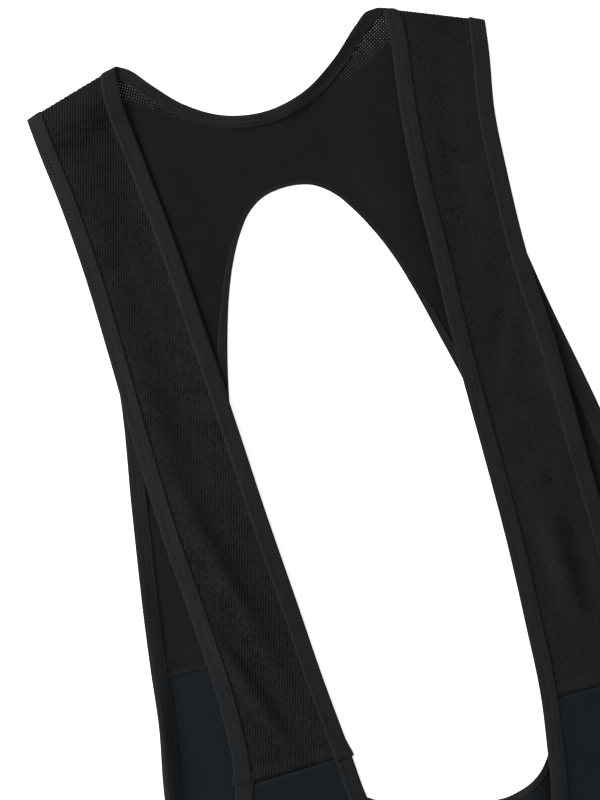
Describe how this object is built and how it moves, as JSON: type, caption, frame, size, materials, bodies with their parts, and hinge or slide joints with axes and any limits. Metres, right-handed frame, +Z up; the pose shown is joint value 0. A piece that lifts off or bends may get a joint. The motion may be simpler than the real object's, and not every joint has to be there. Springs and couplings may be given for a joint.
{
  "type": "cycling bib shorts",
  "caption": "Close-fitting cycling shorts with a mesh bib: straps, a cut-out back yoke and bound edges, laid flat with the front up.",
  "frame": {"origin": "middle of the laid garment's footprint, on the surface it lies on", "axes": "+X to the viewer's right with the front up, +Y from the leg hems to the shoulders, +Z up out of the front"},
  "size_m": [0.3832, 0.8624, 0.0057],
  "materials": {
    "yoke_mesh": "matt black fine warp-knit mesh",
    "strap_mesh": "matt black warp-knit mesh with small staggered holes",
    "knit": "smooth blue-black stretch knit with a soft sheen",
    "binding": "charcoal folded elastic binding, sewn with two rows of stitches"
  },
  "bodies": {
    "root": {"back_yoke_mesh": "yoke_mesh", "strap_mesh_left": "strap_mesh", "strap_mesh_right": "strap_mesh", "front_left": "knit", "front_right": "knit", "back_left": "knit", "back_right": "knit", "neck_binding": "binding", "armhole_binding_left": "binding", "armhole_binding_right": "binding", "back_opening_binding": "binding"}
  },
  "joints": []
}
